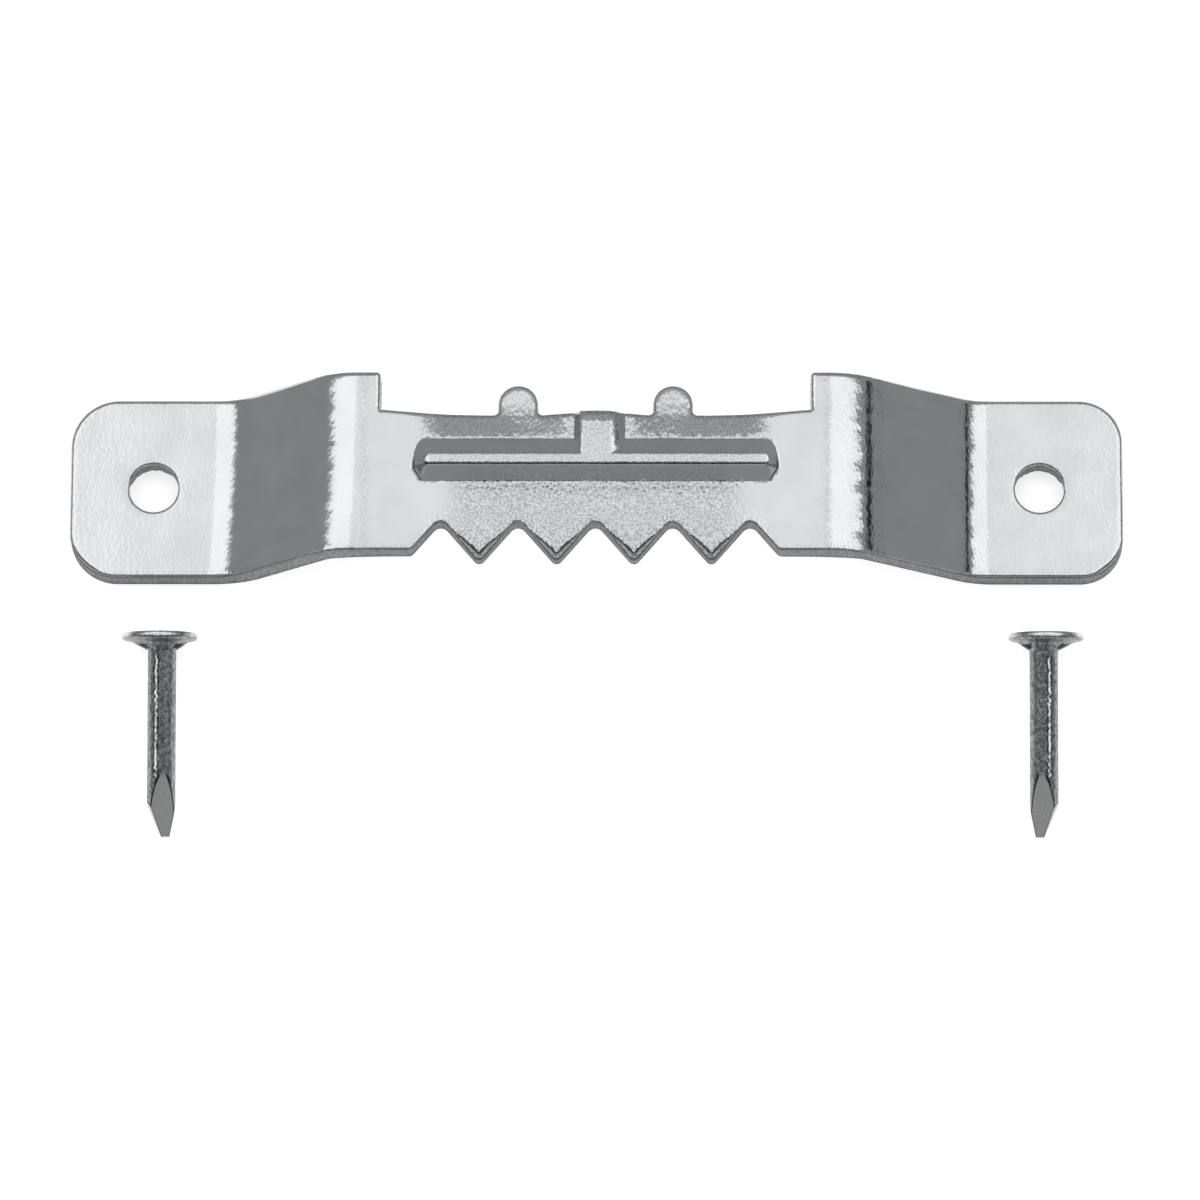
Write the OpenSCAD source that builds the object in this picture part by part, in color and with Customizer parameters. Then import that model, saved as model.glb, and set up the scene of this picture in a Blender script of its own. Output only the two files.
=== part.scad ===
// Sawtooth picture hanger with its two nails, in millimetres.
// The plate lies on its two tabs, as it does against a picture frame.
// X runs along the plate, Y points up the frame, and Z points away from the frame.
// The origin is midway between the two nail holes, on the tabs' back faces.

/* [Plate] */
// Length of the plate over both tabs
plate_len = 44.9; // [38:0.1:60]
// Width of the plate between its lower and upper edges
plate_w = 7.9; // [7:0.1:10]
// Thickness of the sheet steel
sheet_t = 1.12; // [0.7:0.02:1.3]
// Radius of the tabs' rounded corners
tab_corner_r = 1.9; // [0.4:0.1:3.2]
// Length of each flat tab, from its end to its bend
tab_len = 5.8; // [5:0.1:7.5]

/* [Bridge] */
// Height of the bridge's underside above the tabs' back faces
bridge_rise = 4.1; // [2.5:0.1:5]
// Slope of the legs between tab and bridge, in degrees
leg_angle = 41; // [36:1:60]
// Radius on the inside of the bend between tab and leg
tab_bend_r = 1.9; // [0.5:0.1:2.5]
// Radius on the inside of the bend between leg and bridge
bridge_bend_r = 0.8; // [0.3:0.1:2]
// Radius of the bow in which each end of the bridge curves down to its bend
bow_r = 12; // [6:0.5:16]
// Slope that the bow reaches at the bend, in degrees
bow_angle = 15; // [5:1:20]

/* [Nail holes] */
// Diameter of the nail holes
nail_hole_d = 2.1; // [1.6:0.05:2.6]
// Width and depth of the bevelled lip at the front of each nail hole
nail_hole_lip = 0.08; // [0.02:0.01:0.2]
// Distance from the end of the plate to the middle of its nail hole
nail_hole_end = 3.55; // [2.8:0.05:4]

/* [Saw teeth] */
// Distance from one tooth's tip to the next
tooth_pitch = 3.27; // [2.6:0.01:4]
// Angle between the two flanks of a tooth, in degrees
tooth_angle = 81; // [70:1:100]
// Distance by which the tips reach below the plate's lower edge
tip_drop = 0.34; // [0:0.02:0.6]
// Radius of the rounded tips
tip_r = 0.26; // [0.1:0.02:0.4]
// Radius of the rounded valleys, where the wall nail sits
valley_r = 0.37; // [0.2:0.01:0.6]
// Radius of the corner between the outer flanks and the plate's lower edge
shoulder_r = 0.3; // [0.1:0.05:0.5]
// Least length of plain lower edge between the teeth and each bend
tooth_end = 2.9; // [2:0.1:5]

/* [Upper edge] */
// Width of each ear, from the bend to the cut-back upper edge
ear_w = 2.05; // [1:0.05:3]
// Radius of the ears' inner corners
ear_r = 0.2; // [0.05:0.05:0.5]
// Depth to which the upper edge is cut back between the ears
cut_back = 1.97; // [1:0.01:2.2]
// Height by which the cut edge rises again at each ear
edge_rise = 0.22; // [0.05:0.01:0.4]
// Height of the gentle swell in the middle of the cut edge
swell_h = 0.1; // [0.02:0.01:0.2]
// Distance of each round lug from the middle of the plate
lug_x = 3.28; // [2.8:0.02:4]
// Diameter of the lugs
lug_d = 1.7; // [1.2:0.05:2.2]
// Height of the lugs above the cut edge
lug_h = 1.32; // [1.1:0.02:1.8]
// Radius at the foot of each lug
lug_foot_r = 0.2; // [0.05:0.05:0.3]

/* [Rib] */
// Height of the pressed rib above the bridge
rib_h = 0.4; // [0.2:0.02:0.5]
// Width of the rib at its foot
rib_w = 2; // [1.6:0.05:2.4]
// Width of the rib's crest
rib_crest_w = 0.46; // [0.2:0.02:0.8]
// Distance from each end of the rib to the bow in the bridge
rib_end = 0.3; // [0.1:0.05:3]
// Length over which the ends of the rib slope down
rib_end_slope = 0.33; // [0.2:0.01:0.6]
// Length of the rounded upper corner at each end of the rib
rib_round = 0.5; // [0.2:0.05:0.8]
// Length of the slanted lower corner at each end of the rib
rib_slant = 0.3; // [0.1:0.05:0.6]
// Width of the flat top of the stem between rib and upper edge
stem_w = 1.8; // [1.5:0.05:2.4]
// Distance over which each side of the stem slopes down
stem_side = 0.3; // [0.2:0.01:0.4]
// Distance of the stem from the middle of the plate
stem_x = 0.2; // [-0.5:0.05:0.5]

/* [Nails] */
// Length of a nail, from the top of its head to its tip
nail_len = 8.7; // [7.5:0.1:13]
// Diameter of the shank
shank_d = 1.2; // [1:0.02:1.5]
// Diameter of the head
head_d = 3.25; // [2.6:0.05:4]
// Thickness of the head's rounded rim
head_t = 0.39; // [0.25:0.01:0.6]
// Distance by which the head sits beside the shank's axis
head_off = 0.1; // [0:0.01:0.2]
// Least width of the plain ring between the head's rounded rim and the cone under it
neck_ring = 0.03; // [0.02:0.01:0.3]
// Length of the cone under the head
neck_len = 0.38; // [0.15:0.01:0.6]
// Length of the two broad facets of the point
point_len = 2.7; // [2:0.05:3.2]
// Length of the narrow facet on the side that the tip leans to
point_near_len = 1.35; // [1:0.05:1.8]
// Length of the narrow facet on the other side
point_far_len = 1.5; // [1.1:0.05:2.4]
// Thickness of the blunt tip, between its broad facets
tip_t = 0.2; // [0.1:0.01:0.4]
// Width of the blunt tip, between its narrow facets
tip_w = 0.34; // [0.2:0.01:0.4]
// Distance by which the tip lies beside the nail's axis
tip_off = 0.18; // [0:0.01:0.2]
// Turn of the point's facets about the nail's axis, in degrees
point_turn = 10; // [0:1:30]

/* [Layout] */
// Distance of the left nail's axis from its nail hole, towards the middle of the plate
left_nail_in = 0.5; // [-2:0.1:3]
// Distance of the right nail's axis from its nail hole, away from the middle of the plate
right_nail_out = 0.1; // [-3:0.1:2]
// Distance from the plate's lower edge to the top of the nail heads
nail_gap = 2.65; // [1:0.05:6]

/* [Hidden] */
$fn = 96;
zinc = [0.8, 0.81, 0.82];
wire_steel = [0.36, 0.37, 0.38];
// Largest turn of one step along a rounded outline, in degrees
arc_turn = 6;
// Longest step along a rounded outline, and the shortest that is drawn
arc_reach = 0.8;
arc_least = 0.001;
// Overrun of a shape past the face that it cuts or joins
over = 0.5;

// The back of the bent strip: rise and run of its two bends, its bow and its straight leg
bridge_top = bridge_rise + sheet_t;
tab_back_r = tab_bend_r + sheet_t;
tab_bend_rise = tab_back_r * (1 - cos(leg_angle));
bridge_bend_rise = bridge_bend_r * (cos(bow_angle) - cos(leg_angle));
bow_rise = bow_r * (1 - cos(bow_angle));
leg_rise = bridge_rise - tab_bend_rise - bridge_bend_rise - bow_rise;
leg_run = leg_rise / tan(leg_angle);
bend_run = tab_back_r * sin(leg_angle) + bridge_bend_r * (sin(leg_angle) - sin(bow_angle));

// Places along and across the plate, from its middle
end_x = plate_len / 2;
tab_x = end_x - tab_len;
bridge_x = tab_x - leg_run - bend_run;
bow_x = bridge_x - bow_r * sin(bow_angle);
hole_x = end_x - nail_hole_end;
ear_x = bridge_x - ear_w;
rib_x = bow_x - rib_end;
edge_y = plate_w / 2;
cut_y = edge_y - cut_back;

// The teeth: straight flanks that would meet at sharp corners, which arcs round off
half_angle = tooth_angle / 2;
flank_slope = 1 / tan(half_angle);
tip_y = -edge_y - tip_drop + tip_r;
sharp_tip_y = tip_y - tip_r / sin(half_angle);
sharp_valley_y = sharp_tip_y + tooth_pitch / 2 * flank_slope;
valley_y = sharp_valley_y - valley_r / sin(half_angle);
outer_flank_w = (sharp_valley_y + edge_y) / flank_slope;
tooth_count = floor(2 * (bridge_x - tooth_end - outer_flank_w) / tooth_pitch);
teeth_x = tooth_count * tooth_pitch / 2;
shoulder_turn = 90 - half_angle;
shoulder_x = teeth_x + outer_flank_w + shoulder_r * tan(shoulder_turn / 2);

// The round lugs on the cut edge
lug_r = lug_d / 2;
lug_y = cut_y + lug_h - lug_r;
foot_x = lug_r + lug_foot_r;
foot_y = cut_y + lug_foot_r;

// The cut edge dips gently beside each lug and swells in the middle
dip_x = lug_x + foot_x;
dip_w = ear_x - dip_x;
dip_r = (pow(dip_w, 2) + pow(edge_rise, 2)) / (2 * edge_rise);
dip_turn = asin(dip_w / dip_r);
swell_w = lug_x - foot_x;
swell_r = (pow(swell_w, 2) + pow(swell_h, 2)) / (2 * swell_h);
swell_turn = asin(swell_w / swell_r);

// The groove behind the rib and its stem follows them at the sheet's thickness
rib_half = rib_w / 2;
crest_half = rib_crest_w / 2;
rib_slope = atan(rib_h / (rib_half - crest_half));
stem_slope = atan(rib_h / stem_side);
rib_shift = sheet_t * tan(rib_slope / 2);
stem_shift = sheet_t * tan(stem_slope / 2);
groove_half = rib_half - rib_shift;
groove_crest_share = 0.2;
groove_crest_half = groove_half * groove_crest_share;
groove_h = (groove_half - groove_crest_half) * tan(rib_slope);

// The nose of the rib's rounded ends lies a little below the middle of the rib
nose_share = 0.12;

// The nail: radii, and the slopes of the point's facets along the nail
shank_r = shank_d / 2;
rim_r = head_t / 2;
rim_x = head_d / 2 - rim_r;
neck_r = rim_x - head_off - neck_ring;
under_head = nail_len - head_t;
broad_run = point_len / (shank_r - tip_t / 2);
near_side = tip_off + tip_w / 2;
near_run = point_near_len / (shank_r - near_side);
far_side = tip_off - tip_w / 2;
far_run = point_far_len / (shank_r + far_side);

// A nail lies on its rim and on the corner where two facets meet the shank
corner_sum = (broad_run * tip_t / 2 - near_run * near_side) / norm([broad_run, near_run]);
corner_turn = acos(corner_sum / shank_r) - atan(near_run / broad_run);
corner_z = (shank_r * cos(corner_turn) - tip_t / 2) * broad_run;
corner_low = shank_r * cos(corner_turn - point_turn);
rim_span = norm([nail_len - rim_r - corner_z, rim_x - corner_low]);
lie_angle = asin((rim_x - corner_low) / rim_span) + asin(rim_r / rim_span);
tip_lift = corner_low * cos(lie_angle) - corner_z * sin(lie_angle);
tip_back = edge_y + nail_gap + nail_len * cos(lie_angle);

// Points along an arc about c, from angle a0 to angle a1
function arc(c, r, a0, a1) =
    let (reach = abs(a1 - a0) * PI / 180 * r)
    let (n = ceil(max(abs(a1 - a0) / arc_turn, reach / arc_reach)))
    [for (i = [0 : n]) let (a = a0 + (a1 - a0) * i / n) c + r * [cos(a), sin(a)]];

// The same points taken the other way round, or on the other side of the middle
function reversed(points) = [for (i = [len(points) - 1 : -1 : 0]) points[i]];
function flipped(points) = [for (p = points) [-p[0], p[1]]];

// An outline without the points that repeat the one before them
function outline(points) =
    [for (i = [0 : len(points) - 1])
        let (step = points[(i + 1) % len(points)] - points[i])
        if (norm(step) > arc_least) points[i]];

// The rounded tip and the rounded valley at x, from their left flank to their right one
function tooth_tip(x) = arc([x, tip_y], tip_r, 180 + half_angle, 360 - half_angle);
function valley(x) = arc([x, valley_y], valley_r, 180 - half_angle, half_angle);

// The lower edge from the left shoulder to the right one
function lower_edge() =
    let (shoulder = arc([shoulder_x, shoulder_r - edge_y], shoulder_r, 270 - shoulder_turn, 270))
    concat(
        reversed(flipped(shoulder)),
        [for (i = [0 : tooth_count - 1]) let (x = i * tooth_pitch - teeth_x)
            each concat(valley(x), tooth_tip(x + tooth_pitch / 2))],
        valley(teeth_x),
        shoulder
    );

// The right half of the outline, from the tab's lower corner to the swell in the upper edge
function right_side() =
    let (corner = edge_y - tab_corner_r)
    concat(
        arc([end_x - tab_corner_r, -corner], tab_corner_r, 270, 360),
        arc([end_x - tab_corner_r, corner], tab_corner_r, 0, 90),
        arc([ear_x + ear_r, edge_y - ear_r], ear_r, 90, 180),
        arc([dip_x, cut_y + dip_r], dip_r, 270 + dip_turn, 270),
        arc([lug_x + foot_x, foot_y], lug_foot_r, 270, 180),
        arc([lug_x, lug_y], lug_r, 0, 180),
        arc([lug_x - foot_x, foot_y], lug_foot_r, 360, 270)
    );

// The blank as the press cuts it, seen from the front
module blank() {
    swell = arc([0, cut_y + swell_h - swell_r], swell_r, 90 - swell_turn, 90 + swell_turn);
    polygon(outline(concat(lower_edge(), right_side(), swell, reversed(flipped(right_side())))));
}

// One face of the bent strip, from the tab's end to the flat middle of the bridge
function strip_face(depth) =
    let (bow_c = [bow_x, bridge_rise - bow_r])
    let (bend_c = bow_c + (bow_r - bridge_bend_r) * [sin(bow_angle), cos(bow_angle)])
    concat(
        [[end_x + over, depth]],
        arc([tab_x, tab_back_r], tab_back_r - depth, 270, 270 - leg_angle),
        arc(bend_c, bridge_bend_r + depth, 90 - leg_angle, 90 - bow_angle),
        arc(bow_c, bow_r + depth, 90 - bow_angle, 90)
    );

// The strip bent into tabs, legs and bridge, seen from its lower edge
module bent_strip() {
    front = outline(strip_face(sheet_t));
    back = outline(strip_face(0));
    polygon(concat(front, reversed(flipped(front)), flipped(back), reversed(back)));
}

// The plan of the rib, or of one level of it, with rounded upper and slanted lower corners
function rib_plan(half_len, half_w) =
    let (round_share = half_w / rib_half)
    let (nose = [half_len, -nose_share * half_w])
    let (a = rib_round * round_share)
    let (b = half_w - nose[1])
    let (slant = rib_slant * round_share)
    let (right = concat(
        [[half_len - slant, -half_w]],
        [for (t = [0 : 3 * arc_turn : 90]) [half_len - a * (1 - cos(t)), nose[1] + b * sin(t)]]
    ))
    concat(right, reversed(flipped(right)));

// A solid whose plan runs through the given levels, from the lowest to the highest
module levels(plans, heights) {
    n = len(plans[0]);
    last = len(plans) - 1;
    points = [for (i = [0 : last]) each [for (p = plans[i]) [p[0], p[1], heights[i]]]];
    sides = [for (i = [0 : last - 1], j = [0 : n - 1])
        let (a = i * n + j)
        let (b = i * n + (j + 1) % n)
        each [[a, a + n, b], [b, a + n, b + n]]];
    bottom = [for (j = [0 : n - 1]) j];
    top = [for (j = [n - 1 : -1 : 0]) last * n + j];
    polyhedron(points, concat([bottom, top], sides));
}

// The raised rib, sunk into the bridge by the overrun
module rib() {
    foot = rib_plan(rib_x, rib_half);
    crest = rib_plan(rib_x - rib_end_slope, crest_half);
    levels([foot, foot, crest], [bridge_top - over, bridge_top, bridge_top + rib_h]);
}

// The groove behind the rib, opened past the bridge's underside by the overrun
module rib_groove() {
    foot = rib_plan(rib_x - rib_shift, groove_half);
    crest = rib_plan(rib_x - rib_shift - rib_end_slope, groove_crest_half);
    levels([foot, foot, crest], [bridge_rise - over, bridge_rise, bridge_rise + groove_h]);
}

// A flat-topped ridge along Y, from the rib's middle past the upper edge
module ridge(half_w, side, base_z) {
    foot = half_w + side;
    translate([stem_x, 0, base_z])
        rotate([90, 0, 180])
            linear_extrude(edge_y)
                polygon([
                    [-foot, -over], [foot, -over], [foot, 0],
                    [half_w, rib_h], [-half_w, rib_h], [-foot, 0]
                ]);
}

// A nail hole in a tab, with its bevelled lip
module nail_hole() {
    hole_r = nail_hole_d / 2;
    translate([0, 0, -over]) cylinder(h = sheet_t + 2 * over, r = hole_r);
    translate([0, 0, sheet_t - nail_hole_lip])
        cylinder(h = nail_hole_lip + over, r1 = hole_r, r2 = hole_r + nail_hole_lip + over);
}

module sawtooth_plate() {
    color(zinc)
        difference() {
            intersection() {
                union() {
                    rotate([90, 0, 0]) linear_extrude(2 * plate_w, center = true) bent_strip();
                    rib();
                    ridge(stem_w / 2, stem_side, bridge_top);
                }
                translate([0, 0, -over]) linear_extrude(bridge_top + rib_h + 2 * over) blank();
            }
            rib_groove();
            ridge(stem_w / 2 - stem_shift, stem_side, bridge_rise);
            for (x = [-hole_x, hole_x])
                translate([x, 0, 0]) nail_hole();
        }
}

// Half of the shank's section, with the cone that carries the head
module shank_section() {
    polygon([
        [0, 0], [shank_r, 0], [shank_r, under_head - neck_len],
        [neck_r, under_head], [neck_r, under_head + rim_r], [0, under_head + rim_r]
    ]);
}

// Half of the head's section, with its rounded rim
module head_section() {
    translate([0, -rim_r]) square([rim_x, head_t]);
    translate([rim_x, 0]) circle(r = rim_r);
}

// The space between two facets of the point: it opens from the tip and clears the head
module facet_pair(left, right, left_run, right_run) {
    reach = shank_r + over;
    rotate([90, 0, 0])
        linear_extrude(2 * head_d, center = true)
            polygon([
                [left, 0], [right, 0], [reach, (reach - right) * right_run],
                [head_d, nail_len], [head_d, nail_len + over], [-head_d, nail_len + over],
                [-head_d, nail_len], [-reach, (reach + left) * left_run]
            ]);
}

// The shank with its four-sided point, standing on the tip
module shank() {
    intersection() {
        rotate_extrude() shank_section();
        facet_pair(far_side, near_side, far_run, near_run);
        rotate([0, 0, 90]) facet_pair(-tip_t / 2, tip_t / 2, broad_run, broad_run);
    }
}

// A nail that stands on its tip, with its head a little to the left
module nail() {
    rotate([0, 0, point_turn]) shank();
    translate([-head_off, 0, under_head + rim_r]) rotate_extrude() head_section();
}

// A nail that lies on its head's rim and its point, with its tip towards -Y
module lying_nail() {
    translate([0, -tip_back, tip_lift])
        rotate([lie_angle - 90, 0, 0])
            nail();
}

module left_nail() {
    color(wire_steel) translate([left_nail_in - hole_x, 0, 0]) lying_nail();
}

module right_nail() {
    color(wire_steel) translate([hole_x + right_nail_out, 0, 0]) mirror([1, 0, 0]) lying_nail();
}

sawtooth_plate();
left_nail();
right_nail();
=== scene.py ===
import math

import bpy
import numpy as np
from mathutils import Matrix, Vector, noise
from mathutils.geometry import delaunay_2d_cdt
from mathutils.kdtree import KDTree


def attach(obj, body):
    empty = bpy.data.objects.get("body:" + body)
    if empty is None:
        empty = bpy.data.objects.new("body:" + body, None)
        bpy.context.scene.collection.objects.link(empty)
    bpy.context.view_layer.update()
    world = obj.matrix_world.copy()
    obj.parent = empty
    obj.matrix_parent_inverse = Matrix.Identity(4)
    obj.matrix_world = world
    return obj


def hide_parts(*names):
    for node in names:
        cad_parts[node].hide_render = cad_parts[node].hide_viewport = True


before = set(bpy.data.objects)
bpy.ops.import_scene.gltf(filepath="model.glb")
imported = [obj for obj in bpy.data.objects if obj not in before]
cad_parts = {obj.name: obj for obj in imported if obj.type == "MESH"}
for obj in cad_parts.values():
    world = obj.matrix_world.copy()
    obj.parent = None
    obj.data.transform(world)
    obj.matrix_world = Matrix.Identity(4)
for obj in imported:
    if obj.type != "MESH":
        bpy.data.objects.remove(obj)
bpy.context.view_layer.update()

# Shapes are worked out in millimetres, as in the part's source, and meshes are stored in metres
MM = 0.001

# The strip, with the values of the part's source
SHEET_T = 1.12
PLATE_W = 7.9
END_X = 22.45
BRIDGE_RISE = 4.1
BRIDGE_X = 11.154
BOW_X = 8.048
EDGE_Y = PLATE_W / 2
CUT_Y = EDGE_Y - 1.89

# The photographed plate's left leg is bent a little steeper than its right one. For each side and
# face: start of the tab's bend, its radius, slope of the leg, radius of the upper bend, radius and
# slope of the bow
FRONT_BENDS = {-1: (16.35, 2.2, 44, 2.8, 0, 0), 1: (16.71, 1.65, 38, 3.2, 0, 0)}
BACK_BENDS = {-1: (16.4, 3.02, 44, 0.8, 12, 12), 1: (16.95, 2.5, 38, 0.8, 12, 12)}
CORNER_RS = {-1: 2.05, 1: 1.85}

# The sheet falls away on both sides of the rib: slope above it and on the lugs, and slopes below
# it, far from the rib and beside it. A fine line is pressed in along the rib's foot
LEAN = math.tan(math.radians(7.4))
LUG_LEAN = math.tan(math.radians(3.7))
BELLY = 0.05
BELLY_NEAR = 0.085
BELLY_REACH = 0.5
FOOT_LINE = 0.014
FOOT_LINE_W = 0.05
STEM_DROOP = 0.28

# The teeth
TOOTH_PITCH = 3.27
HALF_TOOTH = math.radians(81) / 2
TIP_R = 0.26
VALLEY_R = 0.37
SHOULDER_R = 0.3
TOOTH_COUNT = 4

# The upper edge between the ears
EAR_W = 2.05
EAR_R = 0.2
EDGE_RISE = 0.22
SWELL_H = 0.1
LUG_X = 3.28
LUG_R = 0.85
LUG_H = 1.32
LUG_FOOT_R = 0.2

# The rib and its stem. The crest lies a little to the right of the foot's middle and below it. The
# rib's ends are round above NOSE_SHARE of its half-width and cut at a slant below it. The stem's
# two sides have unequal widths
RIB_H = 0.4
RIB_HALF = 0.93
CREST_HALF = 0.23
RIB_END = 0.3
RIB_END_SLOPE = 0.52
RIB_ROUND = 0.5
RIB_SLANT = 0.33
NOSE_SHARE = 0.37
CREST_SHIFT = (0.09, -0.06)
STEM_FOOT = 1.08
STEM_SIDES = {-1: 0.28, 1: 0.46}
STEM_X = 0.18
STEM_BLEND = 0.36

# How far the rib's profile runs on beyond its foot and its crest, and how wide both are rounded,
# as shares of the slope's run
PROFILE_RUN = 0.77
FRONT_ROUNDS = (0.07, 0.095)
BACK_ROUNDS = (0.2, 0.2)

# The nail holes
HOLE_X = 18.9
HOLE_R = 1.05
HOLE_STEPS = 120
HOLE_LIP = 0.1
HOLE_DISH = 0.012
HOLE_DISH_W = 0.5
BACK_HOLE_R = 1.13
BACK_HOLE_WILD = 0.05

# Spans of the plate's mesh: arcs, the outline, rings beside edges, and the fine and coarse fill
ARC_STEP = 0.05
FOOT_ARC_STEP = 0.04
BEND_STEP = 0.03
OUTLINE_STEP = 0.08
FRONT_RINGS = (0.006, 0.018, 0.034, 0.055, 0.08, 0.12, 0.18, 0.26, 0.36, 0.48)
FRONT_FILL = (0.075, 0.17)
BACK_RINGS = (0.05, 0.14)
BACK_FILL = (0.11, 0.3)
LINE_GAP = 0.016

# Rows of the cut walls: how far down each row lies, and how far in the tear pulls it
WALL_SHARES = (0.05, 0.14, 0.26, 0.34, 0.42, 0.52, 0.62, 0.72, 0.82, 0.91, 0.97)
WALL_PULLS = (0, 0, 0, 0.004, 0.014, 0.018, 0.02, 0.02, 0.018, 0.012, 0.004)
TEAR_H = 0.013

# Reach of the darker or brighter strip that is marked beside each edge: painted shade where the
# front takes the walls' colour, and stronger grain
EDGE_REACH = 0.12

# Strength of the zinc's grain: everywhere, beside edges, below and above the rib, less on its
# slopes, at the left and right bends, and on the faint line where the bow ends. The legs keep only
# a small share
PLAIN_GRAIN = 0.2
EDGE_GRAIN = 0.4
BELLY_GRAIN = 0.38
STRIP_GRAIN = 0.27
SLOPE_GRAIN = -0.2
BEND_GRAINS = (0.03, 0.12)
BEND_ZONES = ((11.0, 0.9), (16.0, 1.0))
LINE_GRAIN = 0.16
LINE_X = 9.8
LINE_W = 0.2
LEG_MIDDLES = (-13.15, 13.95)
LEG_GRAIN_SHARE = 0.04
BACK_GRAIN = 0.6

# Derived places, as in the part's source
SLOPE = 1 / math.tan(HALF_TOOTH)
TIP_Y = -EDGE_Y - 0.34 + TIP_R
SHARP_TIP_Y = TIP_Y - TIP_R / math.sin(HALF_TOOTH)
SHARP_VALLEY_Y = SHARP_TIP_Y + TOOTH_PITCH / 2 * SLOPE
VALLEY_Y = SHARP_VALLEY_Y - VALLEY_R / math.sin(HALF_TOOTH)
TEETH_X = TOOTH_COUNT * TOOTH_PITCH / 2
SHOULDER_TURN = math.pi / 2 - HALF_TOOTH
SHOULDER_X = TEETH_X + (SHARP_VALLEY_Y + EDGE_Y) / SLOPE + SHOULDER_R * math.tan(SHOULDER_TURN / 2)
EAR_X = BRIDGE_X - EAR_W
RIB_X = BOW_X - RIB_END


# ---- Plan outline ----

def arc(cx, cy, r, a0, a1, step=0.07):
    """Points along an arc, with angles in degrees."""
    reach = abs(math.radians(a1 - a0)) * r
    n = max(4, math.ceil(reach / step), math.ceil(abs(a1 - a0) / 9))
    turns = np.radians(np.linspace(a0, a1, n + 1))
    return np.stack([cx + r * np.cos(turns), cy + r * np.sin(turns)], 1)


def flipped(points):
    """The same points on the other side of the middle, taken the other way round."""
    return points[::-1] * [-1, 1]


def refined(points, step):
    """A closed line with no repeated points and no span longer than step."""
    kept = []
    for i in range(len(points)):
        a, b = points[i], points[(i + 1) % len(points)]
        length = math.hypot(*(b - a))
        if length < 1e-4:
            continue
        n = math.ceil(length / step)
        kept += [a + (b - a) * k / n for k in range(n)]
    return np.array(kept)


def plate_outline():
    """The plate's outline, anticlockwise from the left shoulder of the teeth."""
    half = math.degrees(HALF_TOOTH)
    turn = math.degrees(SHOULDER_TURN)
    shoulder = arc(SHOULDER_X, SHOULDER_R - EDGE_Y, SHOULDER_R, 270 - turn, 270)
    lower = [flipped(shoulder)]
    for i in range(TOOTH_COUNT + 1):
        x = i * TOOTH_PITCH - TEETH_X
        lower.append(arc(x, VALLEY_Y, VALLEY_R, 180 - half, half, ARC_STEP))
        if i < TOOTH_COUNT:
            lower.append(arc(x + TOOTH_PITCH / 2, TIP_Y, TIP_R, 180 + half, 360 - half, ARC_STEP))
    lower.append(shoulder)
    foot = LUG_R + LUG_FOOT_R
    dip_w = EAR_X - LUG_X - foot
    dip_r = (dip_w ** 2 + EDGE_RISE ** 2) / (2 * EDGE_RISE)
    dip_turn = math.degrees(math.asin(dip_w / dip_r))
    swell_w = LUG_X - foot
    swell_r = (swell_w ** 2 + SWELL_H ** 2) / (2 * SWELL_H)
    swell_turn = math.degrees(math.asin(swell_w / swell_r))
    tabs = {side: [arc(END_X - r, r - EDGE_Y, r, 270, 360), arc(END_X - r, EDGE_Y - r, r, 0, 90)]
            for side, r in CORNER_RS.items()}
    inner = np.concatenate([
        arc(EAR_X + EAR_R, EDGE_Y - EAR_R, EAR_R, 90, 180, FOOT_ARC_STEP),
        arc(LUG_X + foot, CUT_Y + dip_r, dip_r, 270 + dip_turn, 270),
        arc(LUG_X + foot, CUT_Y + LUG_FOOT_R, LUG_FOOT_R, 270, 180, FOOT_ARC_STEP),
        arc(LUG_X, CUT_Y + LUG_H - LUG_R, LUG_R, 0, 180),
        arc(LUG_X - foot, CUT_Y + LUG_FOOT_R, LUG_FOOT_R, 360, 270, FOOT_ARC_STEP),
    ])
    swell = arc(0, CUT_Y + SWELL_H - swell_r, swell_r, 90 - swell_turn, 90 + swell_turn)
    left = [flipped(np.concatenate(tabs[-1] + [inner]))]
    return refined(np.concatenate(lower + tabs[1] + [inner, swell] + left), OUTLINE_STEP)


# ---- Heights ----

def strip_line(bends, depth):
    """X and Z of one face of the bent strip on one side, from its middle to its end."""
    start, tab_r, leg, bend_r, bow_r, bow = bends
    sin_leg, cos_leg = math.sin(math.radians(leg)), math.cos(math.radians(leg))
    sin_bow, cos_bow = math.sin(math.radians(bow)), math.cos(math.radians(bow))
    rise = BRIDGE_RISE - tab_r * (1 - cos_leg) - bend_r * (cos_bow - cos_leg) \
        - bow_r * (1 - cos_bow)
    bow_end = start - tab_r * sin_leg - rise * cos_leg / sin_leg - bend_r * (sin_leg - sin_bow)
    top = BRIDGE_RISE + depth
    bow_x = bow_end - bow_r * sin_bow
    bend_x = bow_end - bend_r * sin_bow
    bend_z = top - bow_r * (1 - cos_bow) - bend_r * cos_bow
    points = [[[0, top]]]
    if bow:
        points.append(arc(bow_x, top - bow_r, bow_r, 90, 90 - bow, ARC_STEP))
    points += [arc(bend_x, bend_z, bend_r, 90 - bow, 90 - leg, BEND_STEP),
               arc(start, depth + tab_r, tab_r, 270 - leg, 270, BEND_STEP), [[END_X + 1, depth]]]
    points = np.concatenate(points)
    return points[:, 0], points[:, 1]


def strip_height(points, bends, depth):
    """Height of one face of the bent strip at each point."""
    right = np.interp(points[:, 0], *strip_line(bends[1], depth))
    left = np.interp(-points[:, 0], *strip_line(bends[-1], depth))
    return np.where(points[:, 0] > 0, right, left)


def smooth_step(low, high, x):
    """0 at low, 1 at high and smooth between them. Low may be the greater of the two."""
    t = np.clip((x - low) / (high - low), 0, 1)
    return t * t * (3 - 2 * t)


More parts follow.
